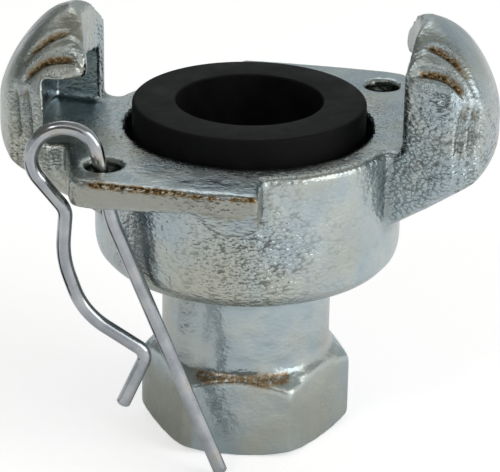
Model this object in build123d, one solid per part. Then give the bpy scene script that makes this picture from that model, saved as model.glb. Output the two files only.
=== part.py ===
from build123d import *
import os
from math import atan, cos, degrees, hypot, radians, sin, tan

# Claw hose coupling, the half with a female pipe thread.
# Millimetres. The origin is the centre of the hex end face, and +Z is the bore's axis, towards the gasket.
# Angles about +Z are in degrees, counted from +X. Claws and ledges are given for one side and turned half round.

# Hex end and its thread
hex_across_flats = 27.0
hex_turn = -4.5
hex_height = 10.4
hex_bottom_chamfer = 1.7
hex_top_slope = 2.0
hex_foot_inset = 0.1
hex_foot_share = 0.62
hex_corner_ease = 2.2
thread_bore = 18.6
thread_depth = 15.0
thread_mouth = 21.6

# Neck and bowl
neck_diameter = 24.6
neck_fillet = 2.6
cove_height = 2.2
cove_width = 1.3
cove_step_out = 0.27
cove_step_up = 0.34
cove_overlap = 0.6
bowl_diameter = 44.0
bowl_corner = 3.6
bowl_depth = 20.8
bowl_floor_slope = 1.2
bowl_rim_round = 0.9
plate_height = 46.4
waterway = 15.0
bowl_wall = 4.0

# Gasket and its seat
gasket_diameter = 33.3
gasket_bore = 21.0
gasket_proud = 3.6
gasket_edge = 0.4
gasket_foot_height = 2.2
gasket_foot_step = 1.6
seat_gap = 1.0
seat_depth = 7.4
groove_gap = 0.25

# Engagement ledge, a flat cam that the other half's claw slides under
ledge_thickness = 2.9
ledge_end_thickness = 4.2
ledge_free_angle = 272.8
ledge_free_skew = 3.2
ledge_end_angle = 224.0
ledge_overhang = 6.3
ledge_end_overhang = 10.2
ledge_end_round = 2.2
ledge_edge = 0.5
ledge_web = 2.2
ledge_web_slope = 2.0
ledge_web_turn = 8.0
lug_radius = 5.2
lug_drop = 1.6
lug_arc = 6.8
lug_face_slope = 2.0
lug_inset = 0.2

# Claw, a hook that closes over the other half's ledge
claw_closed_angle = 151.0
claw_open_angle = 201.0
claw_reach = 35.4
claw_height = 16.9
claw_wall_inner = 24.2
claw_shoulder = 4.5
claw_crown_fullness = 0.615
claw_heel = 4.2
claw_heel_inset = 2.4
claw_heel_fullness = 0.3
claw_root_depth = 13.0
claw_root_taper = 2.0
claw_back_radius = 22.0
claw_half_width = 11.4
closed_wall = 3.8
throat_radius = 30.0
throat_height = 8.0
throat_rise = 1.3
nose_overhang = 0.4
nose_round = 2.2
ridge_height = 2.75
ridge_inset = 1.1
ridge_step = 1.0
ridge_turn = 1.7
ridge_fullness = 0.055

# Hole for the safety clip
clip_hole = 5.0
clip_hole_angle = 221.1
clip_hole_overhang = 4.1

# Safety clip, spring wire
clip_wire = 2.0
clip_loop_radius = 4.5
clip_leg_lean = 22.1
clip_tip_above_table = 0.7
clip_plane_lean = 2.5
clip_off_centre = 0.4
clip_loop_side = -5.2
clip_loop_rise = 0.8
clip_bend_side = 1.18
clip_bend_drop = 7.9
clip_wave_length = 35.7
clip_loop_turn = 34.6
clip_bend_radius = 16.0
clip_tail_round = 1.7

# Worked out from the sizes above
bowl_radius = bowl_diameter / 2
neck_radius = neck_diameter / 2
hex_corner_radius = hex_across_flats / 2 / cos(radians(30))
seat_radius = gasket_diameter / 2 + seat_gap
foot_radius = gasket_diameter / 2 + gasket_foot_step
seat_floor = plate_height - seat_depth
bowl_floor = plate_height - bowl_depth
ledge_radius = bowl_radius + ledge_overhang
ledge_end_radius = bowl_radius + ledge_end_overhang
clip_hole_radius_out = bowl_radius + clip_hole_overhang
inside_bowl = bowl_radius - 2
inside_neck = neck_radius - 1


def polar(radius, angle):
    return (radius * cos(radians(angle)), radius * sin(radians(angle)))


def turned(outline):
    return revolve(Plane.XZ * outline, Axis.Z)


def turned_sector(outline, start, end):
    return Rot(0, 0, start) * revolve(Plane.XZ * outline, Axis.Z, end - start)


def outline_of(*edges):
    return make_face(Wire(list(edges)))


def half_turn(shape):
    return Rot(0, 0, 180) * shape


def eased(before, corner, after, radius):
    """Corner of a turned outline, rounded in three flat steps that keep the solid light."""
    point = Vector(*corner)
    to_before = (Vector(*before) - point).normalized()
    to_after = (Vector(*after) - point).normalized()
    half = radians(to_before.get_angle(to_after) / 2)
    centre = point + (to_before + to_after).normalized() * (radius / sin(half))
    start = point + to_before * (radius / tan(half)) - centre
    end = point + to_after * (radius / tan(half)) - centre
    arms = [start, start * 2 + end, start + end * 2, end]
    steps = [centre + arm.normalized() * radius for arm in arms]
    return [(step.X, step.Y) for step in steps]


def bowl_and_neck():
    """Cup and neck, turned as one."""
    foot = (neck_radius, 0)
    throat_corner = (neck_radius, bowl_floor)
    cup_corner = (bowl_radius, bowl_floor + bowl_floor_slope)
    rim = (bowl_radius, plate_height)
    middle = (0, plate_height)
    points = [(0, 0), foot]
    points += eased(foot, throat_corner, cup_corner, neck_fillet)
    points += eased(throat_corner, cup_corner, rim, bowl_corner)
    points += eased(cup_corner, rim, middle, bowl_rim_round)
    points += [middle]
    return turned(make_face(Polyline(*points, close=True)))


def hex_end():
    """Hex with its bottom chamfered and its top running up into the neck."""
    prism = extrude(RegularPolygon(hex_corner_radius, 6), hex_height + hex_top_slope + 2)
    bottom_radius = hex_across_flats / 2 - hex_foot_inset
    rise = hex_bottom_chamfer * (hex_corner_radius - bottom_radius) / (hex_corner_radius - hex_across_flats / 2)
    bound = make_face(Polyline(
        (0, 0),
        (bottom_radius, 0),
        (hex_corner_radius + 0.05, rise * hex_foot_share),
        (hex_corner_radius + 0.05, hex_height),
        (neck_radius, hex_height + hex_top_slope),
        (0, hex_height + hex_top_slope),
        close=True,
    ))
    corners = bound.vertices()
    bound = fillet(corners.filter_by(lambda v: v.X > hex_corner_radius and v.Y > hex_height - 1), hex_corner_ease)
    return Rot(0, 0, hex_turn) * (prism & turned(bound))


def hex_to_neck_fillet():
    """Cove between the top of the hex and the neck."""
    base = hex_height + hex_top_slope - cove_overlap
    return turned(make_face(Polyline(
        (inside_neck, base),
        (neck_radius + cove_width, base),
        (neck_radius + cove_width * cove_step_out, base + cove_height * cove_step_up),
        (neck_radius, base + cove_height),
        (inside_neck, base + cove_height),
        close=True,
    )))


def ledge():
    """Cam with a sloping underside, a rounded end by the claw, a web below it and a stop lug at its free end."""
    free_inner = polar(inside_bowl, ledge_free_angle + ledge_free_skew)
    free_outer = polar(ledge_radius, ledge_free_angle)
    middle = polar(ledge_radius, ledge_free_angle * 0.5 + ledge_end_angle * 0.5)
    near_end = polar(ledge_end_radius - 0.4, ledge_end_angle + 5)
    end_corner = polar(ledge_end_radius + 0.8, ledge_end_angle - 0.5)
    by_claw = polar(claw_wall_inner + 3, claw_open_angle)
    inner = polar(inside_bowl - 2, claw_open_angle)
    face = outline_of(
        Line(free_inner, free_outer),
        ThreePointArc(free_outer, middle, near_end),
        Line(near_end, end_corner),
        Line(end_corner, by_claw),
        Line(by_claw, inner),
        Line(inner, free_inner),
    )
    rounded = [v for v in face.vertices() if hypot(v.X - end_corner[0], v.Y - end_corner[1]) < 0.1]
    face = fillet(rounded, ledge_end_round)
    plate = extrude(Pos(0, 0, plate_height - ledge_end_thickness) * face, ledge_end_thickness)
    plate = plate - ledge_ramp(end_corner, free_outer)
    outer_edges = [
        e for e in plate.edges()
        if e.center().Z > plate_height - 0.01 or e.center().Z < plate_height - ledge_thickness * 0.95
    ]
    outer_edges = [e for e in outer_edges if hypot(e.center().X, e.center().Y) > bowl_radius + 2.5]
    plate = chamfer(outer_edges, ledge_edge)
    below = plate_height - ledge_thickness + 0.2
    web = make_face(Polyline(
        (inside_bowl, below),
        (bowl_radius + ledge_web, below),
        (inside_bowl, below - ledge_web - ledge_web_slope),
        close=True,
    ))
    web_solid = turned_sector(web, ledge_end_angle - ledge_web_turn, ledge_free_angle)
    return plate + web_solid + stop_lug()


def ledge_ramp(thick_end, thin_end):
    """Wedge below the ledge, whose top is the cam's sloping underside."""
    run = thin_end[0] - thick_end[0]
    slope = degrees(atan((ledge_end_thickness - ledge_thickness) / run))
    block = Pos(thick_end[0], 0, plate_height - ledge_end_thickness) * Rot(0, -slope, 0)
    return block * Pos(0, 0, -plate_height / 2) * Box(4 * ledge_radius, 4 * ledge_radius, plate_height)


def stop_lug():
    """Rounded boss below the ledge's free end, cut off flush with that end."""
    length = ledge_radius - inside_bowl - ledge_edge
    lug_face = ledge_radius - lug_inset
    boss = Plane(
        origin=(inside_bowl, 0, plate_height - lug_drop),
        x_dir=(0, 1, 0),
        z_dir=(1, 0, 0),
    ) * extrude(Circle(lug_radius), length)
    boss = Rot(0, 0, ledge_free_angle - lug_arc) * boss
    inside = turned(make_face(Polyline(
        (inside_bowl, plate_height - ledge_edge),
        (lug_face, plate_height - ledge_edge),
        (lug_face, plate_height - ledge_thickness + ledge_edge),
        (lug_face - lug_face_slope, plate_height - lug_drop - lug_radius),
        (inside_bowl, plate_height - lug_drop - lug_radius - 1),
        close=True,
    )))
    end = polar(inside_bowl, ledge_free_angle + ledge_free_skew)
    outer = polar(ledge_radius, ledge_free_angle)
    kept = make_face(Polyline(end, outer, polar(ledge_radius + 4, 240), polar(ledge_radius + 4, 200), close=True))
    return boss & inside & extrude(kept, plate_height)


def claw_outline(step):
    """Section through the claw and its root. Each step is one ridge lower and further in."""
    top = plate_height + claw_height - ridge_height * step
    back = claw_reach - ridge_inset * step
    inner = claw_wall_inner - nose_overhang * (2 - step)
    shoulder = plate_height + claw_shoulder
    nose_centre = inner + nose_round
    diagonal = nose_round * sin(radians(45))
    fullness = claw_crown_fullness + ridge_fullness * step
    crown_middle = (nose_centre + (back - nose_centre) * fullness, shoulder + (top - shoulder) * fullness)
    heel_middle = (back - claw_heel_inset * claw_heel_fullness, plate_height - claw_heel * 0.5)
    heel_end = (back - claw_heel_inset, plate_height - claw_heel)
    root = (inside_bowl, plate_height - claw_root_depth)
    return outline_of(
        Line((inside_bowl, plate_height), (inner, plate_height)),
        Line((inner, plate_height), (inner, top - nose_round)),
        ThreePointArc(
            (inner, top - nose_round),
            (nose_centre - diagonal, top - nose_round + diagonal),
            (nose_centre, top),
        ),
        ThreePointArc((nose_centre, top), crown_middle, (back, shoulder)),
        Line((back, shoulder), (back, plate_height)),
        ThreePointArc((back, plate_height), heel_middle, heel_end),
        Line(heel_end, root),
        Line(root, (inside_bowl, plate_height)),
    )


def claw_arch(step):
    """Arched block across the claw, which domes its crown, rounds its back and narrows its root."""
    half_width = claw_half_width + ridge_step * step
    rise = claw_height + ridge_step * step
    root = plate_height - claw_root_depth
    arch = outline_of(
        EllipticalCenterArc((0, plate_height), half_width, rise, 0, arc_size=180),
        Line((-half_width, plate_height), (claw_root_taper - half_width, root)),
        Line((claw_root_taper - half_width, root), (half_width - claw_root_taper, root)),
        Line((half_width - claw_root_taper, root), (half_width, plate_height)),
    )
    back_centre = claw_reach - ridge_inset * step - claw_back_radius
    back = Pos(back_centre, 0, plate_height) * Cylinder(claw_back_radius, plate_height)
    return extrude(Plane.YZ * arch, claw_reach) & back


def claw():
    """Hook built in three steps, so that its ends show the cast ridges."""
    half_angle = (claw_open_angle - claw_closed_angle) / 2
    hook = None
    for step in (2, 1, 0):
        swing = half_angle - ridge_turn * (2 - step)
        tier = turned_sector(claw_outline(step), -swing, swing) & claw_arch(step)
        hook = tier if hook is None else hook + tier
    return Rot(0, 0, claw_closed_angle + half_angle) * hook - throat()


def throat():
    """Space for the other half's ledge, with a sloping roof that draws the two halves together."""
    closed_face = claw_closed_angle + degrees(closed_wall / claw_wall_inner)
    low = plate_height + throat_height
    tall = make_face(Polyline(
        (bowl_radius - 6, plate_height),
        (throat_radius, plate_height),
        (throat_radius, low + throat_rise * 2),
        (bowl_radius - 6, low + throat_rise * 2),
        close=True,
    ))
    space = turned_sector(tall, closed_face, claw_open_angle + 12)
    middle_angle = (closed_face + claw_open_angle) / 2
    span = 2 * throat_radius * sin(radians((claw_open_angle - closed_face) / 2))
    tilt = degrees(atan(throat_rise / span))
    roof = Pos(0, 0, low + throat_rise / 2) * Rot(0, 0, middle_angle) * Rot(tilt, 0, 0)
    return space & (roof * Pos(0, 0, -30) * Box(120, 120, 60))


def bore():
    """Thread bore, waterway and gasket seat with the groove that holds the gasket's foot."""
    groove_radius = foot_radius + groove_gap
    groove_top = seat_floor + gasket_foot_height + groove_gap
    cup_floor = bowl_floor + bowl_wall
    cavity_radius = gasket_bore / 2 + 1.5
    return turned(make_face(Polyline(
        (0, -1),
        (thread_mouth / 2 + 1, -1),
        (thread_bore / 2, (thread_mouth - thread_bore) / 2),
        (thread_bore / 2, thread_depth),
        (waterway / 2, thread_depth + 2.2),
        (waterway / 2, cup_floor),
        (cavity_radius, cup_floor + 3),
        (cavity_radius, seat_floor),
        (groove_radius, seat_floor),
        (groove_radius, groove_top),
        (seat_radius, groove_top + groove_radius - seat_radius),
        (seat_radius, plate_height + 1),
        (0, plate_height + 1),
        close=True,
    )))


def clip_bore():
    x, y = polar(clip_hole_radius_out, clip_hole_angle)
    return Pos(x, y, plate_height - ledge_thickness) * Cylinder(clip_hole / 2, 4 * ledge_thickness)


def coupling_body():
    body = bowl_and_neck() + hex_end() + hex_to_neck_fillet()
    side = claw() + ledge()
    body = body + side + half_turn(side)
    body = body - bore() - clip_bore() - half_turn(clip_bore())
    return body


def gasket():
    """Rubber ring with a foot that snaps into the seat's groove."""
    inner = gasket_bore / 2
    outer = gasket_diameter / 2
    top = plate_height + gasket_proud
    foot_top = seat_floor + gasket_foot_height
    face = make_face(Polyline(
        (inner, seat_floor),
        (foot_radius, seat_floor),
        (foot_radius, foot_top),
        (outer, foot_top),
        (outer, top),
        (inner, top),
        close=True,
    ))
    face = chamfer([v for v in face.vertices() if v.Y > top - 0.1], gasket_edge)
    return turned(face)


def clip_path():
    """Centre line of the wire in its own plane: across, and up from the plate's top face."""
    loop_side = clip_loop_radius / cos(radians(clip_loop_turn))
    corners = [
        (clip_loop_side + loop_side * cos(radians(turn)), clip_loop_rise + loop_side * sin(radians(turn)))
        for turn in (46.1, 115.2, 184.4)
    ]
    bend = (clip_bend_side, -clip_bend_drop)
    leg_drop = plate_height - clip_tip_above_table - clip_bend_drop
    tip = (bend[0] + leg_drop * tan(radians(clip_leg_lean)), bend[1] - leg_drop)
    tail = [
        (-5.1, -0.182 * clip_wave_length),
        (-5.65, -0.375 * clip_wave_length),
        (-2.85, -0.603 * clip_wave_length),
        (6.1, -0.77 * clip_wave_length),
        (2.6, -0.99 * clip_wave_length),
    ]
    points = [tip, bend] + corners + tail
    loop = clip_loop_radius - 0.15
    radii = [clip_bend_radius, loop, loop, loop, 2.6, 14.0, 11.0, clip_tail_round]
    return points, radii


def safety_clip():
    x, y = polar(clip_hole_radius_out, clip_hole_angle)
    points, radii = clip_path()
    line = FilletPolyline(*[(p[0], 0, p[1]) for p in points], radius=radii)
    wire = Wire(line.edges())
    start = Plane(origin=wire @ 0, z_dir=wire % 0)
    solid = sweep(start * Circle(clip_wire / 2), path=wire)
    return Pos(x, y - clip_off_centre, plate_height) * Rot(-clip_plane_lean, 0, 0) * solid


os.makedirs("parts", exist_ok=True)
export_step(coupling_body(), "parts/coupling_body.step")
export_step(gasket(), "parts/gasket.step")
export_step(safety_clip(), "parts/safety_clip.step")
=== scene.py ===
from math import cos, inf, pi, radians, sin, tan

import bmesh
import bpy
import numpy as np
from mathutils import Matrix, Vector


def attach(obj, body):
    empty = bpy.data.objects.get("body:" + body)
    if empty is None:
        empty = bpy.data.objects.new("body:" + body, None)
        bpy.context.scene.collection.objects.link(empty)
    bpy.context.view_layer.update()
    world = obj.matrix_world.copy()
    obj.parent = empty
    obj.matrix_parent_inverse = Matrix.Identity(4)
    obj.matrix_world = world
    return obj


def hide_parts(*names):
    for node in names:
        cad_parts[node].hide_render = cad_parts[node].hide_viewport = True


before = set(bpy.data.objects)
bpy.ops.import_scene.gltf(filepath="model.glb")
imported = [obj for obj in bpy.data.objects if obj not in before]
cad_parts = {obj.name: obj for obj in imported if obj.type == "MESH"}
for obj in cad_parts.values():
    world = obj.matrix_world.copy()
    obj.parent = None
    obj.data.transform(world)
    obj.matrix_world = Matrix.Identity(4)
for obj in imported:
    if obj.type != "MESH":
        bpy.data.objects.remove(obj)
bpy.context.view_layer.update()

# Claw hose coupling: zinc-plated iron casting, rubber gasket, spring wire clip.
# Lengths in the dictionaries are millimetres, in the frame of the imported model.
mm = 0.001


# Small helpers
def linearColour(code):  # sRGB hex to the linear colour that the nodes want
    channels = [int(code[i:i + 2], 16) / 255 for i in (1, 3, 5)]
    return [c / 12.92 if c < 0.04045 else ((c + 0.055) / 1.055) ** 2.4 for c in channels] + [1.0]


# One node, with its settings, values and links. Inputs are a list or a dictionary, and a node among them
# is linked from its first output in use.
def addNode(tree, kind, inputs=(), **settings):
    node = tree.nodes.new(kind)
    for name, value in settings.items():
        setattr(node, name, value)
    for key, value in inputs.items() if isinstance(inputs, dict) else enumerate(inputs):
        if isinstance(value, bpy.types.Node):
            value = next(output for output in value.outputs if output.enabled)
        if isinstance(value, bpy.types.NodeSocket):
            tree.links.new(value, node.inputs[key])
        else:
            node.inputs[key].default_value = value
    return node


def newMaterial(name):
    material = bpy.data.materials.new(name)
    material.use_nodes = True
    material.node_tree.nodes.clear()
    return material, material.node_tree


def perSize(size):  # texture scale for a pattern of this size in millimetres
    return 1 / (size * mm)


def linked(name, data):  # new object in the scene
    thing = bpy.data.objects.new(name, data)
    bpy.context.scene.collection.objects.link(thing)
    return thing


def pieceFromMesh(name, mesh, material, body):
    piece = linked(name, mesh)
    mesh.materials.clear()
    mesh.materials.append(material)
    for polygon in mesh.polygons:
        polygon.use_smooth = True
    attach(piece, body)
    return piece


def evaluatedMesh(helper):  # plain mesh of an object with its modifiers on it, and the object is dropped
    mesh = bpy.data.meshes.new_from_object(helper.evaluated_get(bpy.context.evaluated_depsgraph_get()))
    bpy.data.objects.remove(helper)
    return mesh


def modifiedMesh(source, kind, **settings):
    helper = linked("helper", source)
    modifier = helper.modifiers.new(kind.title(), kind)
    for name, value in settings.items():
        setattr(modifier, name, value)
    return evaluatedMesh(helper)


# Casting: the body of the coupling. Zones are stated as ranges of x, y, height, radius, height above the
# plate, turn about the bore in degrees, turn past a throat's closed wall, and upward tilt of the surface.
castingSettings = {
    "mergeDistance": 0.002,
    "voxel": 0.36,  # grid of the remesh, which rounds every edge as a casting's are
    "triangles": 190000,
    "plateHeight": 46.4,
    "closedWall": 158.0,  # turn at which a throat's closed wall stands
    "softening": (5, 0.5),  # passes over the cast skin and share of each
    "bendPasses": 8,  # passes of the smoothed copy that hollows and edges are read from
    "hookRounding": (34, 0.6),  # the same over the claws, where a pass may only take off
    "hookSettling": (2, 0.5),
    "grooveBend": 0.08,
    "grooveCut": 0.75,
    "threadBoreRadius": 10.42,
    "creviceDepth": 0.16,
    "creviceStain": (1.4, 0.35),  # slope and start of the straw stain in the claws' grooves
    "stainFade": (5.0, 4.0),  # where above the plate it begins, and how far it takes to be full
    # the plate's dark specks round the gasket are a painted reflection of the black gasket
    "speckFade": (25.5, 5.0, 0.1),  # radius where the plate's specks end, how far they fade, least share
    "clipHoles": (19.668, 17.157, 2.75, -0.5),  # x, y, radius and top of the holes' walls
    "skinPebble": 0.16,
    "pebbled": (  # centre, radius and strength of rough patches of sand-cast skin, each also half-turned
        ((0, -22, 35), 11, 0.72),
        ((10, -20, 36), 10, 0.3),
        ((-6, -27, 43), 9, 0.4),
        ((27, -8, 46), 11, 0.9),
        ((-31, -9, 47), 9, 0.45),
        ((16, -24, 44), 6, 0.5),
    ),
    "calmed": {"neck": 0.5, "crown": 0.3, "throat": 0.25},  # share of the pebble that stays in a zone
    "topPebble": 0.12,
    "throatCrevice": 0.2,
    # painted reflection: straw and dark brown painted on these zones, for the dark things above them that they mirror
    "paintedReflectionZones": {"ledgeEdge": 1.0, "hexShoulder": 0.6, "hexRim": 1.0},
    "zones": {
        "seat": {"radius": (-inf, 17.8), "height": (38.5, inf), "above": (-inf, 0.4)},
        "drilled": {"radius": (-inf, 11.4), "height": (-inf, 17.5)},
        "threadBore": {"radius": (-inf, 9.75), "height": (0.6, 14.6)},
        "hook": {"radius": (25.5, inf), "above": (1, inf)},
        "hookInside": {"radius": (-inf, 30.5), "above": (-inf, 9.6)},
        "flatTop": {"above": (-0.3, 0.3), "tilt": (0.8, inf)},
        "neck": {"height": (-inf, 25)},
        "crown": {"above": (7, inf), "tilt": (-0.1, inf)},
        "throat": {"radius": (-inf, 30.5), "above": (-0.2, 10), "pastWall": (-inf, 56)},
        "ledgeEdge": {"radius": (27.6, inf), "above": (-0.68, 0.12), "turn": (48, 92.5), "tilt": (0.2, 0.96)},
        "hexShoulder": {
            "radius": (12.5, 14.2), "height": (10.2, 12.8), "tilt": (0.2, 0.96), "x": (-7.1, 6.5), "y": (-inf, 0),
        },
        "hexRim": {
            "radius": (12.5, 14.2), "height": (10.2, 10.9), "tilt": (0.2, 0.96), "x": (-7.1, 6.5), "y": (-inf, 0),
        },
        "ledgeFront": {"radius": (24, inf), "above": (-6, -0.3), "turn": (40, 134), "tilt": (-0.4, 0.4)},
        "hexFlat": {"radius": (12, inf), "height": (-inf, 10), "x": (-inf, -7.5), "y": (-inf, 0)},
    },
}


def readVectors(collection, name, count):
    values = np.empty(count * 3, np.float32)
    collection.foreach_get(name, values)
    return values.reshape(-1, 3).astype(float)


def edgeEnds(mesh):  # both points of every edge, and how many edges meet at each point
    ends = np.empty(len(mesh.edges) * 2, np.int64)
    mesh.edges.foreach_get("vertices", ends)
    ends = ends.reshape(-1, 2)
    degree = np.maximum(np.bincount(ends.ravel(), minlength=len(mesh.vertices)), 1)
    return ends, degree


def neighbourMean(values, ends, degree):
    total = np.zeros_like(values)
    for axis in range(values.shape[1]):
        column = values[:, axis]
        total[:, axis] = np.bincount(ends[:, 0], column[ends[:, 1]], len(values))
        total[:, axis] += np.bincount(ends[:, 1], column[ends[:, 0]], len(values))
    return total / degree[:, None]


def storeAttribute(mesh, name, values):
    attribute = mesh.attributes.new(name, "FLOAT", "POINT")
    attribute.data.foreach_set("value", values.astype(np.float32))


def surfaceBend(points, mesh, ends, degree, passes):  # how far each point lies in a hollow, and the normals
    normals = readVectors(mesh.vertex_normals, "vector", len(points))
    smoothed = points.copy()
    for _ in range(passes):
        smoothed = neighbourMean(smoothed, ends, degree)
    return ((smoothed - points) * normals).sum(1), normals


def measured(points, s, tilt=None):  # what the zones are stated in, for each point
    x, y, height = points.T
    turn = np.degrees(np.arctan2(y, x)) % 180
    return {
        "x": x, "y": y, "height": height, "radius": np.hypot(x, y), "above": height - s["plateHeight"],
        "turn": turn, "pastWall": (turn + 180 - s["closedWall"]) % 180, "tilt": tilt,
    }


def inZone(measures, s, name):
    inside = True
    for measure, (low, high) in s["zones"][name].items():
        inside = inside & (measures[measure] > low) & (measures[measure] < high)
    return inside


def machinedZone(measures, s):  # turned and drilled surfaces
    return inZone(measures, s, "seat") | inZone(measures, s, "drilled")


def hookZone(measures, s):  # the outside of the claws, above the plate
    return inZone(measures, s, "hook") & ~inZone(measures, s, "hookInside")


def mergedCopy(source, distance):
    mesh = source.copy()
    bm = bmesh.new()
    bm.from_mesh(mesh)
    bmesh.ops.remove_doubles(bm, verts=bm.verts, dist=distance)
    bm.to_mesh(mesh)
    bm.free()
    return mesh


def castingMesh(s):
    merged = mergedCopy(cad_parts["coupling_body"].data, s["mergeDistance"] * mm)
    voxel = s["voxel"] * 1 * mm
    fine = modifiedMesh(merged, "REMESH", mode="VOXEL", voxel_size=voxel)
    ends, degree = edgeEnds(fine)
    points = readVectors(fine.vertices, "co", len(fine.vertices)) / mm
    passes, share = s["softening"]
    keep = np.where(machinedZone(measured(points, s), s), 0.0, share)[:, None]
    for _ in range(passes):
        points += (neighbourMean(points, ends, degree) - points) * keep
    # the claws' edges are worn round, and the grooves between their ridges are then cut into them
    bend, normals = surfaceBend(points, fine, ends, degree, s["bendPasses"])
    hook = hookZone(measured(points, s), s)
    groove = (np.clip(bend / s["grooveBend"], 0, 1) * hook)[:, None]
    passes, share = s["hookRounding"]
    for _ in range(passes):
        step = neighbourMean(points, ends, degree) - points
        outward = ((step * normals).sum(1) < 0) & hook
        points += step * np.where(outward, share, 0.0)[:, None]
    points -= normals * neighbourMean(groove, ends, degree) * s["grooveCut"]
    passes, share = s["hookSettling"]
    for _ in range(passes):
        points += (neighbourMean(points, ends, degree) - points) * hook[:, None] * share
    # the bore is opened to the thread's roots
    measures = measured(points, s)
    grow = s["threadBoreRadius"] / np.maximum(measures["radius"], 1)
    points[:, :2] *= np.where(inZone(measures, s, "threadBore"), grow, 1.0)[:, None]
    fine.vertices.foreach_set("co", (points * mm).astype(np.float32).ravel())
    fine.update()
    trianglesNow = sum(len(p.vertices) - 2 for p in fine.polygons)
    ratio = min(1.0, s["triangles"] / trianglesNow)
    print("casting:", trianglesNow, "triangles, kept", round(ratio, 3))
    return modifiedMesh(fine, "DECIMATE", ratio=ratio) if ratio < 1 else fine


def castPebble(points, measures, hook, s):  # how rough the sand-cast skin is at each point
    pebble = np.full(len(points), s["skinPebble"])
    for centre, reach, strength in s["pebbled"]:
        for side in (1, -1):
            away = points - np.array(centre) * (side, side, 1)
            pebble = np.maximum(pebble, strength * np.exp(-(away ** 2).sum(1) / reach ** 2))
    pebble[inZone(measures, s, "neck")] *= s["calmed"]["neck"]
    pebble[inZone(measures, s, "flatTop")] = s["topPebble"]
    pebble[inZone(measures, s, "crown") & hook] *= s["calmed"]["crown"]
    pebble[inZone(measures, s, "throat")] *= s["calmed"]["throat"]
    pebble[machinedZone(measures, s)] = 0.0
    return pebble


def markCasting(mesh, s):  # attributes that the finish reads
    ends, degree = edgeEnds(mesh)
    points = readVectors(mesh.vertices, "co", len(mesh.vertices)) / mm
    bend, normals = surfaceBend(points, mesh, ends, degree, s["bendPasses"])
    measures = measured(points, s, normals[:, 2])
    hook = hookZone(measures, s)
    # painted shade: the deeper a point lies in a hollow, the darker it is painted, less so in the throats
    crevice = np.clip(bend / s["creviceDepth"], 0, 1)
    crevice[inZone(measures, s, "throat")] *= s["throatCrevice"]
    holeX, holeY, holeRadius, wallTop = s["clipHoles"]
    # painted shade: the clip holes' walls are painted dark all over
    for side in (1, -1):
        inHole = np.hypot(points[:, 0] + side * holeX, points[:, 1] + side * holeY) < holeRadius
        crevice[inHole & (measures["above"] < wallTop)] = 2.0  # the walls are dark all over
    # straw and brown: a straw stain in the claws' grooves, and a painted reflection in straw and dark brown along the
    # ledges' top edges and over the hex
    slope, start = s["creviceStain"]
    fadeStart, fadeLength = s["stainFade"]
    strawAndPaintedReflection = np.clip(crevice * slope - start, 0, 1) * hook * np.clip((measures["above"] - fadeStart) / fadeLength, 0, 1)
    # painted reflection on the ledges' top edges, the hex's shoulder and its rim
    for name, amount in s["paintedReflectionZones"].items():
        strawAndPaintedReflection[inZone(measures, s, name)] = amount
    # painted reflection of the gasket: specks on the plate top, fading out away from it
    speckEnd, speckLength, speckLeast = s["speckFade"]
    speckled = np.clip((speckEnd - measures["radius"]) / speckLength, speckLeast, 1)
    marks = {
        "crevice": crevice,
        # painted reflection: the ledges' fronts, the stop lugs and one flat of the hex are painted a shade darker
        "paintedFaceShade": (inZone(measures, s, "ledgeFront") | inZone(measures, s, "hexFlat")).astype(float),
        "pebble": castPebble(points, measures, hook, s),
        "plate": inZone(measures, s, "flatTop") * speckled,
        "strawAndPaintedReflection": strawAndPaintedReflection,
        "ridged": np.clip(np.abs(bend) / s["creviceDepth"], 0, 1) * hook,
    }
    for name, values in zip(marks, neighbourMean(np.stack(list(marks.values()), 1), ends, degree).T):
        storeAttribute(mesh, name, values)
    storeAttribute(mesh, "machined", machinedZone(measures, s))


# Zinc-plated cast iron, blue passivated: a soft grey shine on a sand-cast skin, a straw tint where the
# passivation pooled, painted shade and painted reflection: dark gaps, hollows, specks, brown lines, darker faces.
zincSettings = {
    "light": "#B4BCBA",
    "blue": "#A4B1B6",
    "warm": "#B1B0A2",
    "strawAndPaintedReflection": "#93764A",
    "brown": "#33291B",
    # dark colour of the painted shade in gaps and hollows, of the painted reflection in specks, and of dark grain
    "paintedShadeAndDarkGrain": "#575C57",
    # painted reflection: the darker colour of the ledges' fronts, the stop lugs and one hex flat
    "paintedFaceShade": "#9B9D95",
    "flattening": 1.6,
    "lumpSize": 0.75,
    "lumpWander": 0.9,  # share of a lump's size that its outline wanders
    "noises": {  # size, detail and roughness
        "clusters": (1.8, 2.0, 0.55),
        "swell": (3.0, 2.0, 0.4),
        "grain": (0.34, 3.0, 0.6),
        "breakup": (0.6, 3.0, 0.7),
        "tint": (6.0, 3.0, 0.55),
        "patches": (15.6, 2.0, 0.55),
    },
    "lightShare": (0.4, 0.62),
    "warmShare": (0.48, 0.66, 0.0, 0.7),
    "gapShare": (0.48, 0.72),
    "clusterShare": (0.42, 0.58),
    "pebbleShare": (0.1, 0.8),
    "speckShare": (0.54, 0.63),
    "strawShare": (0.1, 0.7),
    "strawBreakup": (0.36, 0.5),
    "brownShare": (0.4, 0.9),
    "brownBreakup": (0.45, 0.57),
    "creviceDark": 0.5,
    "speckDark": 0.85,
    "lumpHeight": 0.38,
    "swellHeight": 0.26,
    "grainHeight": 0.1,
    "grainLeast": 0.2,
    "ridgeGrain": 1.8,
    "turnedCalm": 0.9,  # share of the cast relief that turned surfaces lose
    "roughness": (0.35, 0.65, 0.22, 0.33),
    "stainRoughness": 0.12,
}


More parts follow.
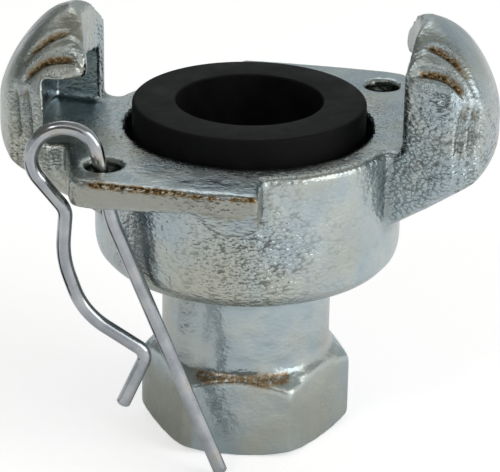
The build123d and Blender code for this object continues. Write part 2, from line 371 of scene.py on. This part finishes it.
def zincCastIron(s):
    material, tree = newMaterial("zincPlatedCastIron")
    place = addNode(tree, "ShaderNodeTexCoord").outputs["Object"]
    mark = {
        name: addNode(tree, "ShaderNodeAttribute", attribute_name=name).outputs["Fac"]
        for name in ("crevice", "paintedFaceShade", "pebble", "plate", "strawAndPaintedReflection", "ridged", "machined")
    }
    noise = {
        name: addNode(tree, "ShaderNodeTexNoise", {
            "Vector": place, "Scale": perSize(size), "Detail": detail, "Roughness": roughness,
        })
        for name, (size, detail, roughness) in s["noises"].items()
    }
    # lumps lie a little flat, and their outlines wander
    perLump = perSize(s["lumpSize"])
    flat = addNode(tree, "ShaderNodeMapping", {"Vector": place, "Scale": (1.0, 1.0, s["flattening"])})
    drift = addNode(tree, "ShaderNodeTexNoise", {"Vector": place, "Scale": perLump, "Detail": 2.0}).outputs["Color"]
    drift = addNode(tree, "ShaderNodeVectorMath", [drift, (0.5, 0.5, 0.5)], operation="SUBTRACT")
    drift = addNode(
        tree, "ShaderNodeVectorMath", {0: drift, "Scale": s["lumpSize"] * s["lumpWander"] * mm}, operation="SCALE",
    )
    wandering = addNode(tree, "ShaderNodeVectorMath", [flat, drift], operation="ADD")
    lumps = addNode(
        tree, "ShaderNodeTexVoronoi", {"Vector": wandering, "Scale": perLump, "Smoothness": 0.25},
        feature="SMOOTH_F1",
    )
    # how far each finish shows
    share = {
        name: addNode(tree, "ShaderNodeMapRange", [source, *s[name]])
        for name, source in (
            ("lightShare", noise["tint"]), ("warmShare", noise["patches"]), ("gapShare", lumps),
            ("clusterShare", noise["clusters"]), ("pebbleShare", mark["pebble"]), ("speckShare", noise["grain"]),
            ("strawShare", mark["strawAndPaintedReflection"]), ("strawBreakup", noise["breakup"]), ("brownShare", mark["strawAndPaintedReflection"]),
            ("brownBreakup", noise["breakup"]), ("roughness", noise["tint"]),
        )
    }
    # painted shade: the gaps between the cast lumps are painted dark
    gaps = addNode(tree, "ShaderNodeMath", [share["gapShare"], share["clusterShare"]], operation="MULTIPLY")
    gaps = addNode(tree, "ShaderNodeMath", [gaps, share["pebbleShare"]], operation="MULTIPLY")
    # painted shade in the hollows and the clip holes
    hollow = addNode(
        tree, "ShaderNodeMath", [mark["crevice"], s["creviceDark"]], operation="MULTIPLY", use_clamp=True,
    )
    # dark specks: a painted reflection of the gasket on the plate top round it, and dark grain on the claws' ridges
    specks = addNode(tree, "ShaderNodeMath", [mark["plate"], mark["ridged"]], operation="MAXIMUM")
    specks = addNode(tree, "ShaderNodeMath", [share["speckShare"], specks], operation="MULTIPLY")
    specks = addNode(tree, "ShaderNodeMath", [specks, s["speckDark"]], operation="MULTIPLY")
    # straw: a stain in the claws' grooves and a painted reflection on the ledges' edges and the hex; dark brown where
    # it is strongest
    strawTintAndPaintedReflection = addNode(tree, "ShaderNodeMath", [share["strawShare"], share["strawBreakup"]], operation="MULTIPLY")
    darkBrown = addNode(tree, "ShaderNodeMath", [share["brownShare"], share["brownBreakup"]], operation="MULTIPLY")
    # colour
    zinc = linearColour(s["blue"])
    for amount, colour in (
        (share["lightShare"], "light"), (share["warmShare"], "warm"), (mark["paintedFaceShade"], "paintedFaceShade"), (gaps, "paintedShadeAndDarkGrain"),
        (hollow, "paintedShadeAndDarkGrain"), (specks, "paintedShadeAndDarkGrain"), (strawTintAndPaintedReflection, "strawAndPaintedReflection"), (darkBrown, "brown"),
    ):
        zinc = addNode(tree, "ShaderNodeMix", {0: amount, 6: zinc, 7: linearColour(s[colour])}, data_type="RGBA")
    # relief
    skin = addNode(tree, "ShaderNodeMath", [mark["machined"], s["turnedCalm"]], operation="MULTIPLY")
    skin = addNode(tree, "ShaderNodeMath", [1.0, skin], operation="SUBTRACT")
    lumpy = addNode(tree, "ShaderNodeMath", [lumps, -1.0], operation="MULTIPLY")
    lumpy = addNode(tree, "ShaderNodeMath", [lumpy, noise["clusters"]], operation="ADD")
    lumpy = addNode(tree, "ShaderNodeMath", [lumpy, mark["pebble"]], operation="MULTIPLY")
    swollen = addNode(tree, "ShaderNodeMath", [noise["swell"], skin], operation="MULTIPLY")
    grainy = addNode(tree, "ShaderNodeMath", [mark["ridged"], s["ridgeGrain"]], operation="MULTIPLY")
    grainy = addNode(tree, "ShaderNodeMath", [grainy, mark["plate"]], operation="ADD")
    grainy = addNode(tree, "ShaderNodeMath", [s["grainLeast"], grainy], operation="ADD")
    grainy = addNode(tree, "ShaderNodeMath", [grainy, skin], operation="MULTIPLY")
    grainy = addNode(tree, "ShaderNodeMath", [noise["grain"], grainy], operation="MULTIPLY")
    relief = addNode(tree, "ShaderNodeBump", {"Height": lumpy, "Distance": s["lumpHeight"] * mm})
    for height, depth in ((swollen, "swellHeight"), (grainy, "grainHeight")):
        relief = addNode(tree, "ShaderNodeBump", {"Height": height, "Distance": s[depth] * mm, "Normal": relief})
    rough = addNode(tree, "ShaderNodeMath", [strawTintAndPaintedReflection, gaps], operation="MAXIMUM")
    rough = addNode(tree, "ShaderNodeMath", [rough, s["stainRoughness"]], operation="MULTIPLY")
    rough = addNode(tree, "ShaderNodeMath", [share["roughness"], rough], operation="ADD", use_clamp=True)
    shader = addNode(
        tree, "ShaderNodeBsdfPrincipled",
        {"Base Color": zinc, "Metallic": 1.0, "Roughness": rough, "Normal": relief},
    )
    addNode(tree, "ShaderNodeOutputMaterial", {"Surface": shader})
    return material


zincCast = zincCastIron(zincSettings)
castMesh = castingMesh(castingSettings)
markCasting(castMesh, castingSettings)
casting = pieceFromMesh("couplingCasting", castMesh, zincCast, "coupling")
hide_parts("coupling_body")
print("casting made,", len(castMesh.polygons), "faces")


# Pipe thread in the hex end
threadSettings = {
    "pitch": 1.814,
    "rootRadius": 10.45,
    "depth": 1.12,
    "crestWidth": 0.28,
    "start": 1.7,
    "turns": 6.8,
    "pointsPerTurn": 72,
    "dark": "#AEB6B8",
    "light": "#C8CCCA",
    "toneSize": 3.0,
    "toneShare": (0.35, 0.65),
    "roughness": (0.3, 0.7, 0.2, 0.34),
    "toolLineSize": 2.2,
    "toolLineDepth": 0.02,
}


# Turned zinc-plated iron: brighter and finer than the cast skin, with tool lines. They are a tenth of a
# millimetre apart on the real part and seven tenths here, so that they show.
def turnedZinc(s):
    material, tree = newMaterial("turnedZincPlatedIron")
    place = addNode(tree, "ShaderNodeTexCoord").outputs["Object"]
    lines = addNode(
        tree, "ShaderNodeTexWave",
        {"Vector": place, "Scale": perSize(s["toolLineSize"]), "Distortion": 0.6, "Detail": 1.0},
        wave_type="BANDS", bands_direction="Z",
    ).outputs["Fac"]
    tone = addNode(
        tree, "ShaderNodeTexNoise",
        {"Vector": place, "Scale": perSize(s["toneSize"]), "Detail": 3.0, "Roughness": 0.55},
    )
    share = addNode(tree, "ShaderNodeMapRange", [tone, *s["toneShare"]])
    rough = addNode(tree, "ShaderNodeMapRange", [tone, *s["roughness"]])
    colour = addNode(
        tree, "ShaderNodeMix", {0: share, 6: linearColour(s["dark"]), 7: linearColour(s["light"])},
        data_type="RGBA",
    )
    relief = addNode(tree, "ShaderNodeBump", {"Height": lines, "Distance": s["toolLineDepth"] * mm})
    shader = addNode(
        tree, "ShaderNodeBsdfPrincipled",
        {"Base Color": colour, "Metallic": 1.0, "Roughness": rough, "Normal": relief},
    )
    addNode(tree, "ShaderNodeOutputMaterial", {"Surface": shader})
    return material


def threadTree(material):  # a ridge swept along a helix
    tree = bpy.data.node_groups.new("threadRidge", "GeometryNodeTree")
    tree.interface.new_socket("Geometry", in_out="INPUT", socket_type="NodeSocketGeometry")
    for name in ("Root Radius", "Pitch", "Turns", "Depth", "Crest Width", "Start"):
        tree.interface.new_socket(name, in_out="INPUT", socket_type="NodeSocketFloat")
    tree.interface.new_socket("Points Per Turn", in_out="INPUT", socket_type="NodeSocketInt")
    tree.interface.new_socket("Geometry", in_out="OUTPUT", socket_type="NodeSocketGeometry")
    given = addNode(tree, "NodeGroupInput").outputs
    height = addNode(tree, "ShaderNodeMath", [given["Turns"], given["Pitch"]], operation="MULTIPLY")
    helix = addNode(
        tree, "GeometryNodeCurveSpiral",
        {"Rotations": given["Turns"], "Start Radius": given["Root Radius"], "End Radius": given["Root Radius"],
         "Height": height, "Resolution": given["Points Per Turn"]},
    )
    upright = addNode(tree, "GeometryNodeSetCurveNormal", {"Curve": helix}, mode="Z_UP")
    ridge = addNode(
        tree, "GeometryNodeCurvePrimitiveQuadrilateral",
        {"Height": given["Depth"], "Bottom Width": given["Pitch"], "Top Width": given["Crest Width"], "Offset": 0.0},
        mode="TRAPEZOID",
    )
    swept = addNode(
        tree, "GeometryNodeCurveToMesh", {"Curve": upright, "Profile Curve": ridge, "Fill Caps": True},
    )
    lift = addNode(tree, "ShaderNodeCombineXYZ", {"Z": given["Start"]})
    placed = addNode(tree, "GeometryNodeTransform", {"Geometry": swept, "Translation": lift})
    real = addNode(tree, "GeometryNodeRealizeInstances", {"Geometry": placed})
    dressed = addNode(tree, "GeometryNodeSetMaterial", {"Geometry": real, "Material": material})
    addNode(tree, "NodeGroupOutput", {"Geometry": dressed})
    return tree


def threadMesh(s, material):
    tree = threadTree(material)
    holder = linked("threadHolder", bpy.data.meshes.new("threadHolder"))
    modifier = holder.modifiers.new("Thread", "NODES")
    modifier.node_group = tree
    values = {
        "Root Radius": s["rootRadius"] * mm, "Pitch": s["pitch"] * mm, "Turns": s["turns"],
        "Depth": s["depth"] * mm, "Crest Width": s["crestWidth"] * mm, "Start": s["start"] * mm,
        "Points Per Turn": s["pointsPerTurn"],
    }
    for item in tree.interface.items_tree:
        if item.in_out == "INPUT" and item.name in values:
            modifier[item.identifier] = values[item.name]
    return evaluatedMesh(holder)


turnedFinish = turnedZinc(threadSettings)
ridgeMesh = threadMesh(threadSettings, turnedFinish)
thread = pieceFromMesh("pipeThread", ridgeMesh, turnedFinish, "coupling")
print("thread made,", len(ridgeMesh.polygons), "faces")


def cornerArc(before, corner, after, radius, fewest, stepLength):  # points round one corner of a path
    inward, onward = (before - corner).normalized(), (after - corner).normalized()
    half = inward.angle(onward) / 2
    centre = corner + (inward + onward).normalized() * radius / sin(half)
    start = corner + inward * radius / tan(half) - centre
    end = corner + onward * radius / tan(half) - centre
    turn = start.angle(end)
    steps = max(fewest, int(turn * radius / stepLength))
    return [
        centre + (start * sin((1 - k / steps) * turn) + end * sin(k / steps * turn)) / sin(turn)
        for k in range(steps + 1)
    ]


# Gasket
gasketSettings = {
    "outline": (  # radius, height and rounding of each corner: floor, foot, side, top
        (10.5, 39.0, 0.25),
        (18.25, 39.0, 0.3),
        (18.25, 41.2, 0.3),
        (16.65, 41.2, 0.3),
        (16.65, 50.0, 0.55),
        (10.5, 50.0, 0.3),
    ),
    "cornerSteps": 5,
    "cornerStep": 1.0,
    "segments": 180,
    "black": "#0B0B0C",
    "bloom": "#161617",
    "dust": "#3A3A3A",
    "noises": {"bloom": (4.0, 4.0, 0.6), "peel": (0.6, 3.0, 0.55), "dust": (0.35, 2.0, 0.55)},
    "bloomShare": (0.4, 0.7),
    "dustShare": (0.68, 0.76, 0.0, 0.3),
    "roughness": (0.3, 0.7, 0.55, 0.72),
    "specular": 0.13,
    "peelDepth": 0.03,
}


def roundedOutline(s):  # points of the closed outline
    corners = [Vector((x, y)) for x, y, _ in s["outline"]]
    outline = []
    for i, corner in enumerate(corners):
        after = corners[(i + 1) % len(corners)]
        rounding = s["outline"][i][2]
        outline += cornerArc(corners[i - 1], corner, after, rounding, s["cornerSteps"], s["cornerStep"])
    return outline


def turnedMesh(name, outline, segments):  # closed outline of (radius, height) turned about the bore's axis
    vertices = [
        (p.x * cos(2 * pi * k / segments) * mm, p.x * sin(2 * pi * k / segments) * mm, p.y * mm)
        for k in range(segments) for p in outline
    ]
    n = len(outline)
    faces = [
        (k * n + i, ((k + 1) % segments) * n + i, ((k + 1) % segments) * n + (i + 1) % n, k * n + (i + 1) % n)
        for k in range(segments) for i in range(n)
    ]
    mesh = bpy.data.meshes.new(name)
    mesh.from_pydata(vertices, [], faces)
    bm = bmesh.new()
    bm.from_mesh(mesh)
    bmesh.ops.recalc_face_normals(bm, faces=bm.faces)
    bm.to_mesh(mesh)
    bm.free()
    return mesh


# Nitrile rubber, press moulded: dead black with a dull bloom and a faint orange-peel from the mould.
def nitrileRubber(s):
    material, tree = newMaterial("mouldedNitrileRubber")
    place = addNode(tree, "ShaderNodeTexCoord").outputs["Object"]
    noise = {
        name: addNode(tree, "ShaderNodeTexNoise", {
            "Vector": place, "Scale": perSize(size), "Detail": detail, "Roughness": roughness,
        })
        for name, (size, detail, roughness) in s["noises"].items()
    }
    colour = linearColour(s["black"])
    for name in ("bloom", "dust"):
        share = addNode(tree, "ShaderNodeMapRange", [noise[name], *s[name + "Share"]])
        colour = addNode(tree, "ShaderNodeMix", {0: share, 6: colour, 7: linearColour(s[name])}, data_type="RGBA")
    rough = addNode(tree, "ShaderNodeMapRange", [noise["bloom"], *s["roughness"]])
    relief = addNode(tree, "ShaderNodeBump", {"Height": noise["peel"], "Distance": s["peelDepth"] * mm})
    shader = addNode(
        tree, "ShaderNodeBsdfPrincipled",
        {"Base Color": colour, "Roughness": rough, "Normal": relief, "Specular IOR Level": s["specular"]},
    )
    addNode(tree, "ShaderNodeOutputMaterial", {"Surface": shader})
    return material


ringMesh = turnedMesh("gasketRing", roundedOutline(gasketSettings), gasketSettings["segments"])
gasket = pieceFromMesh("gasketRing", ringMesh, nitrileRubber(gasketSettings), "coupling")
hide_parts("gasket")
print("gasket made")


# Safety clip
clipSettings = {
    "wire": 2.0,
    "hole": (-19.668, -17.157, 46.4),  # centre of the hole at the plate's top face
    "offCentre": 0.4,  # how far in front of it the wire hangs
    "planeLean": 2.5,
    "bend": (1.18, -7.9),  # of the straight leg, and then its lean in degrees and its drop
    "legLean": 22.1,
    "legDrop": 37.8,
    "loopCentre": (-5.2, 0.8),
    "loopRadius": 4.5,
    "loopTurns": (46.1, 115.2, 184.4),  # corners round the loop, and half the turn between two
    "loopHalfStep": 34.6,
    "waveLength": 35.7,
    "wave": ((-5.1, 0.182), (-5.65, 0.375), (-2.85, 0.603), (6.1, 0.77), (2.6, 0.99)),  # x, share of the length
    "radii": (16.0, 4.35, 4.35, 4.35, 2.6, 14.0, 11.0, 1.7),
    "cornerSteps": 4,
    "cornerStep": 0.35,
    "step": 0.7,
    "sides": 28,
    "cutEdge": 0.18,
    "grey": "#94999F",
    "light": "#B2B5B8",
    "gold": "#A0875A",
    "dark": "#55504A",
    "toneSize": 5.0,
    "speckSize": 0.5,
    "lightShare": (0.38, 0.64),
    "goldShare": (0.58, 0.72, 0.0, 0.3),
    "speckShare": (0.66, 0.76, 0.0, 0.6),
    "lineStretch": (0.12, 26.0, 1.0),
    "roughness": (0.3, 0.7, 0.1, 0.2),
    "speckRelief": 0.35,
    "reliefDepth": 0.025,
}


def clipLine(s):  # centre line of the wire, in millimetres
    bendX, bendZ = s["bend"]
    tip = (bendX + s["legDrop"] * tan(radians(s["legLean"])), bendZ - s["legDrop"])
    reach = s["loopRadius"] / cos(radians(s["loopHalfStep"]))
    loopX, loopZ = s["loopCentre"]
    loop = [(loopX + reach * cos(radians(a)), loopZ + reach * sin(radians(a))) for a in s["loopTurns"]]
    wave = [(x, -share * s["waveLength"]) for x, share in s["wave"]]
    corners = [Vector((x, 0, z)) for x, z in [tip, s["bend"], *loop, *wave]]
    line = [corners[0]]
    for before, corner, after, radius in zip(corners, corners[1:], corners[2:], s["radii"]):
        line += cornerArc(before, corner, after, radius, s["cornerSteps"], s["cornerStep"])
    line.append(corners[-1])
    lean = Matrix.Rotation(radians(-s["planeLean"]), 3, "X")
    x, y, z = s["hole"]
    return [lean @ p + Vector((x, y - s["offCentre"], z)) for p in line]


def evenLine(line, step):  # the same line in steps of about one length
    even = []
    for a, b in zip(line, line[1:]):
        count = max(1, round((b - a).length / step))
        even += [a.lerp(b, k / count) for k in range(count)]
    return even + [line[-1]]


def cutBack(line, cutEdge):  # a short first and last step, where the wire's cut edge is rubbed round
    first = line[0].lerp(line[1], cutEdge / (line[1] - line[0]).length)
    last = line[-1].lerp(line[-2], cutEdge / (line[-1] - line[-2]).length)
    return [line[0], first, *line[1:-1], last, line[-1]]


def wireMesh(name, s):
    line = cutBack(evenLine(clipLine(s), s["step"]), s["cutEdge"])
    sides = s["sides"]
    mesh = bpy.data.meshes.new(name)
    bm = bmesh.new()
    uvLayer = bm.loops.layers.uv.new("alongWire")
    tangents = [(b - a).normalized() for a, b in zip(line, line[1:])]
    tangents = [tangents[0]] + [(a + b).normalized() for a, b in zip(tangents, tangents[1:])] + [tangents[-1]]
    side = tangents[0].orthogonal().normalized()
    rings, lengths, walked = [], [], 0.0
    for i, (point, tangent) in enumerate(zip(line, tangents)):
        side = (side - tangent * side.dot(tangent)).normalized()
        across = tangent.cross(side)
        walked += (point - line[i - 1]).length if i else 0.0
        size = s["wire"] / 2 - s["cutEdge"] if i in (0, len(line) - 1) else s["wire"] / 2
        rings.append([
            bm.verts.new((point + (side * cos(2 * pi * k / sides) + across * sin(2 * pi * k / sides)) * size) * mm)
            for k in range(sides)
        ])
        lengths.append(walked)
    for (a, b), (u, v) in zip(zip(rings, rings[1:]), zip(lengths, lengths[1:])):
        for k in range(sides):
            face = bm.faces.new((a[k], a[(k + 1) % sides], b[(k + 1) % sides], b[k]))
            for loop, (along, turn) in zip(face.loops, ((u, k), (u, k + 1), (v, k + 1), (v, k))):
                loop[uvLayer].uv = (along, turn / sides)
    bm.faces.new(rings[0])
    bm.faces.new(rings[-1])
    bmesh.ops.recalc_face_normals(bm, faces=bm.faces)
    bm.to_mesh(mesh)
    bm.free()
    return mesh


# Zinc-plated spring wire: drawn smooth, so it mirrors in long streaks with faint die lines along it. They
# are hundredths of a millimetre wide on the real wire and a quarter here, so that they show.
def platedWire(s):
    material, tree = newMaterial("zincPlatedSpringWire")
    place = addNode(tree, "ShaderNodeTexCoord").outputs["Object"]
    along = addNode(tree, "ShaderNodeUVMap", uv_map="alongWire")
    stretched = addNode(tree, "ShaderNodeMapping", {"Vector": along, "Scale": s["lineStretch"]})
    lines = addNode(tree, "ShaderNodeTexNoise", {"Vector": stretched, "Scale": 1.0, "Detail": 3.0})
    tone, specks = (
        addNode(tree, "ShaderNodeTexNoise", {
            "Vector": place, "Scale": perSize(size), "Detail": 3.0, "Roughness": 0.55,
        })
        for size in (s["toneSize"], s["speckSize"])
    )
    colour = linearColour(s["grey"])
    for source, share, over in (
        (tone, "lightShare", "light"), (tone, "goldShare", "gold"), (specks, "speckShare", "dark"),
    ):
        amount = addNode(tree, "ShaderNodeMapRange", [source, *s[share]])
        colour = addNode(tree, "ShaderNodeMix", {0: amount, 6: colour, 7: linearColour(s[over])}, data_type="RGBA")
    height = addNode(tree, "ShaderNodeMath", [specks, s["speckRelief"]], operation="MULTIPLY")
    height = addNode(tree, "ShaderNodeMath", [lines, height], operation="ADD")
    relief = addNode(tree, "ShaderNodeBump", {"Height": height, "Distance": s["reliefDepth"] * mm})
    rough = addNode(tree, "ShaderNodeMapRange", [lines, *s["roughness"]])
    shader = addNode(
        tree, "ShaderNodeBsdfPrincipled",
        {"Base Color": colour, "Metallic": 1.0, "Roughness": rough, "Normal": relief},
    )
    addNode(tree, "ShaderNodeOutputMaterial", {"Surface": shader})
    return material


clip = pieceFromMesh("wireClip", wireMesh("wireClip", clipSettings), platedWire(clipSettings), "clip")
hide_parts("safety_clip")
print("clip made")


# Floor, boards, world, lamps and camera
studioSettings = {
    "aim": (0, 0, 40),
    "floorSize": 4000.0,
    "floorHeight": -0.04,  # a hair below the hex's face, so that the two never share a plane
    "floorColour": "#F2F2F0",
    "floorGlow": 0.56,  # for the camera only, so that the floor is white and keeps the shadow
    # what the floor glows in the metal, each as a range of millimetres and the glow or share at its ends
    "mirrorGlow": (-60, 60, 0.38, 0.54),  # along x, from the shaded left to the key lamp's side
    "farLeftGlow": (-110, -60, 0.12, 0.0),  # added to it, along x
    "behindShare": (20, 120, 1.0, 0.85),  # along y
    "contactShare": (16, 52, 0.3, 1.0),  # out from the bore's axis, for the shade round the hex
    "worldFill": 0.36,
    "boards": (  # name, place, size, colour: plain boards that only the metal mirrors
        ("boardOverhead", (345, 0, 640), (810, 1400), "#A2A19A"),
        ("boardOverLeft", (-405, 0, 640), (690, 1400), "#7E7D77"),
        ("boardBehind", (205, 520, 230), (610, 460), "#BCC3C5"),
        ("boardBackLeft", (-350, 500, 230), (500, 460), "#7A7D7D"),
        ("boardLeft", (-520, 0, 95), (900, 190), "#C8CCCC"),
        ("boardLeftHigh", (-500, 0, 385), (900, 380), "#73736E"),
        ("boardFront", (-160, -560, 300), (760, 430), "#6E6C66"),
        # painted shadow: a dark sheet on the floor, mirrored in the bowl's left side where the coupling's own shadow
        # falls
        ("paintedFloorShadow", (-102, -14, 1), (94, 32), "#0A0B0B"),  # lies on the floor
    ),
    "lamps": (  # name, place, size, watts
        ("keyLamp", (560, -260, 360), (420, 420), 1.3),
        ("leftLamp", (-330, -480, 520), (160, 160), 0.45),
        ("backLamp", (0, 470, 620), (240, 160), 0.14),
    ),
}


def inMetres(span):  # a range given in millimetres, and the results at its ends as they are
    low, high, atLow, atHigh = span
    return low * mm, high * mm, atLow, atHigh


def plainPlane(name, corners, material):
    mesh = bpy.data.meshes.new(name)
    mesh.from_pydata([tuple(c) for c in corners], [], [(0, 1, 2, 3)])
    mesh.materials.append(material)
    return linked(name, mesh)


def paleFloor(s):
    material, tree = newMaterial("paleFloor")
    diffuse = addNode(tree, "ShaderNodeBsdfDiffuse", {"Color": linearColour(s["floorColour"])})
    place = addNode(tree, "ShaderNodeTexCoord").outputs["Object"]
    across = addNode(tree, "ShaderNodeSeparateXYZ", {"Vector": place}).outputs
    away = addNode(tree, "ShaderNodeVectorMath", [place], operation="LENGTH")
    path = addNode(tree, "ShaderNodeLightPath").outputs
    mirrored = addNode(tree, "ShaderNodeMapRange", [across["X"], *inMetres(s["mirrorGlow"])])
    for measure, span, operation in (
        (across["X"], "farLeftGlow", "ADD"),
        (across["Y"], "behindShare", "MULTIPLY"),
        (away, "contactShare", "MULTIPLY"),
    ):
        part = addNode(tree, "ShaderNodeMapRange", [measure, *inMetres(s[span])])
        mirrored = addNode(tree, "ShaderNodeMath", [mirrored, part], operation=operation)
    glossy, transmitted = path["Is Glossy Ray"], path["Is Transmission Ray"]
    inMetal = addNode(tree, "ShaderNodeMath", [glossy, transmitted], operation="MAXIMUM")
    mirrored = addNode(tree, "ShaderNodeMath", [mirrored, inMetal], operation="MULTIPLY")
    seen = addNode(tree, "ShaderNodeMath", [path["Is Camera Ray"], s["floorGlow"]], operation="MULTIPLY")
    strength = addNode(tree, "ShaderNodeMath", [seen, mirrored], operation="ADD")
    glow = addNode(tree, "ShaderNodeEmission", {"Color": (1, 1, 1, 1), "Strength": strength})
    both = addNode(tree, "ShaderNodeAddShader", [diffuse, glow])
    addNode(tree, "ShaderNodeOutputMaterial", {"Surface": both})
    half, z = s["floorSize"] / 2 * mm, s["floorHeight"] * mm
    corners = [(-half, -half, z), (half, -half, z), (half, half, z), (-half, half, z)]
    plainPlane("floor", corners, material)


def reflectionBoard(name, place, aim, size, colour):  # seen only in the metal
    material, tree = newMaterial(name)
    glow = addNode(tree, "ShaderNodeEmission", {"Color": linearColour(colour), "Strength": 1.0})
    addNode(tree, "ShaderNodeOutputMaterial", {"Surface": glow})
    w, h = size[0] / 2 * mm, size[1] / 2 * mm
    facing = (Vector(aim) - Vector(place)).to_track_quat("Z", "Y").to_matrix()
    corners = [facing @ Vector(c) + Vector(place) * mm for c in ((-w, -h, 0), (w, -h, 0), (w, h, 0), (-w, h, 0))]
    board = plainPlane(name, corners, material)
    board.visible_camera = False
    board.visible_diffuse = False
    board.visible_shadow = False


def studioLamp(name, place, aim, size, watts):
    data = bpy.data.lights.new(name, "AREA")
    data.shape = "RECTANGLE"
    data.size, data.size_y = size[0] * mm, size[1] * mm
    data.energy = watts
    lamp = linked(name, data)
    lamp.location = Vector(place) * mm
    lamp.rotation_mode = "QUATERNION"
    lamp.rotation_quaternion = (Vector(aim) - Vector(place)).to_track_quat("-Z", "Y")


def studioWorld(s):  # white to the camera and in the metal, and a weaker fill for the light
    world = bpy.data.worlds.new("studio")
    world.use_nodes = True
    tree = world.node_tree
    tree.nodes.clear()
    path = addNode(tree, "ShaderNodeLightPath").outputs
    seen = addNode(tree, "ShaderNodeMath", [path["Is Camera Ray"], path["Is Glossy Ray"]], operation="MAXIMUM")
    seen = addNode(tree, "ShaderNodeMath", [seen, path["Is Transmission Ray"]], operation="MAXIMUM")
    strength = addNode(tree, "ShaderNodeMapRange", [seen, 0.0, 1.0, s["worldFill"], 1.0])
    glow = addNode(tree, "ShaderNodeBackground", {"Color": (1, 1, 1, 1), "Strength": strength})
    addNode(tree, "ShaderNodeOutputWorld", {"Surface": glow})
    bpy.context.scene.world = world


paleFloor(studioSettings)
for name, place, size, colour in studioSettings["boards"]:
    aim = studioSettings["aim"]
    if name == "paintedFloorShadow":  # faces straight up
        aim = (place[0], place[1], aim[2])
    reflectionBoard(name, place, aim, size, colour)
for name, place, size, watts in studioSettings["lamps"]:
    studioLamp(name, place, studioSettings["aim"], size, watts)
studioWorld(studioSettings)

cameraSettings = {
    "sensor": 36.0,
    "focalPixels": 2376.523,
    "imageWidth": 500,
    "elevation": 23.186,
    "roll": 1.027,
    "target": (0.415, 0, 28.89),
    "distance": 344.828,
    "clip": (0.01, 100),  # metres
}


def photoCamera(s):
    data = bpy.data.cameras.new("camera")
    data.sensor_width = s["sensor"]
    data.lens = s["focalPixels"] * s["sensor"] / s["imageWidth"]
    data.clip_start, data.clip_end = s["clip"]
    camera = linked("camera", data)
    e = radians(s["elevation"])
    view = Vector((0, cos(e), -sin(e)))
    camera.location = (Vector(s["target"]) - view * s["distance"]) * mm
    camera.rotation_mode = "QUATERNION"
    turn = view.to_track_quat("-Z", "Y").to_matrix() @ Matrix.Rotation(radians(s["roll"]), 3, "Z")
    camera.rotation_quaternion = turn.to_quaternion()
    bpy.context.scene.camera = camera


photoCamera(cameraSettings)
bpy.context.scene.view_settings.view_transform = "Standard"
print("studio ready")
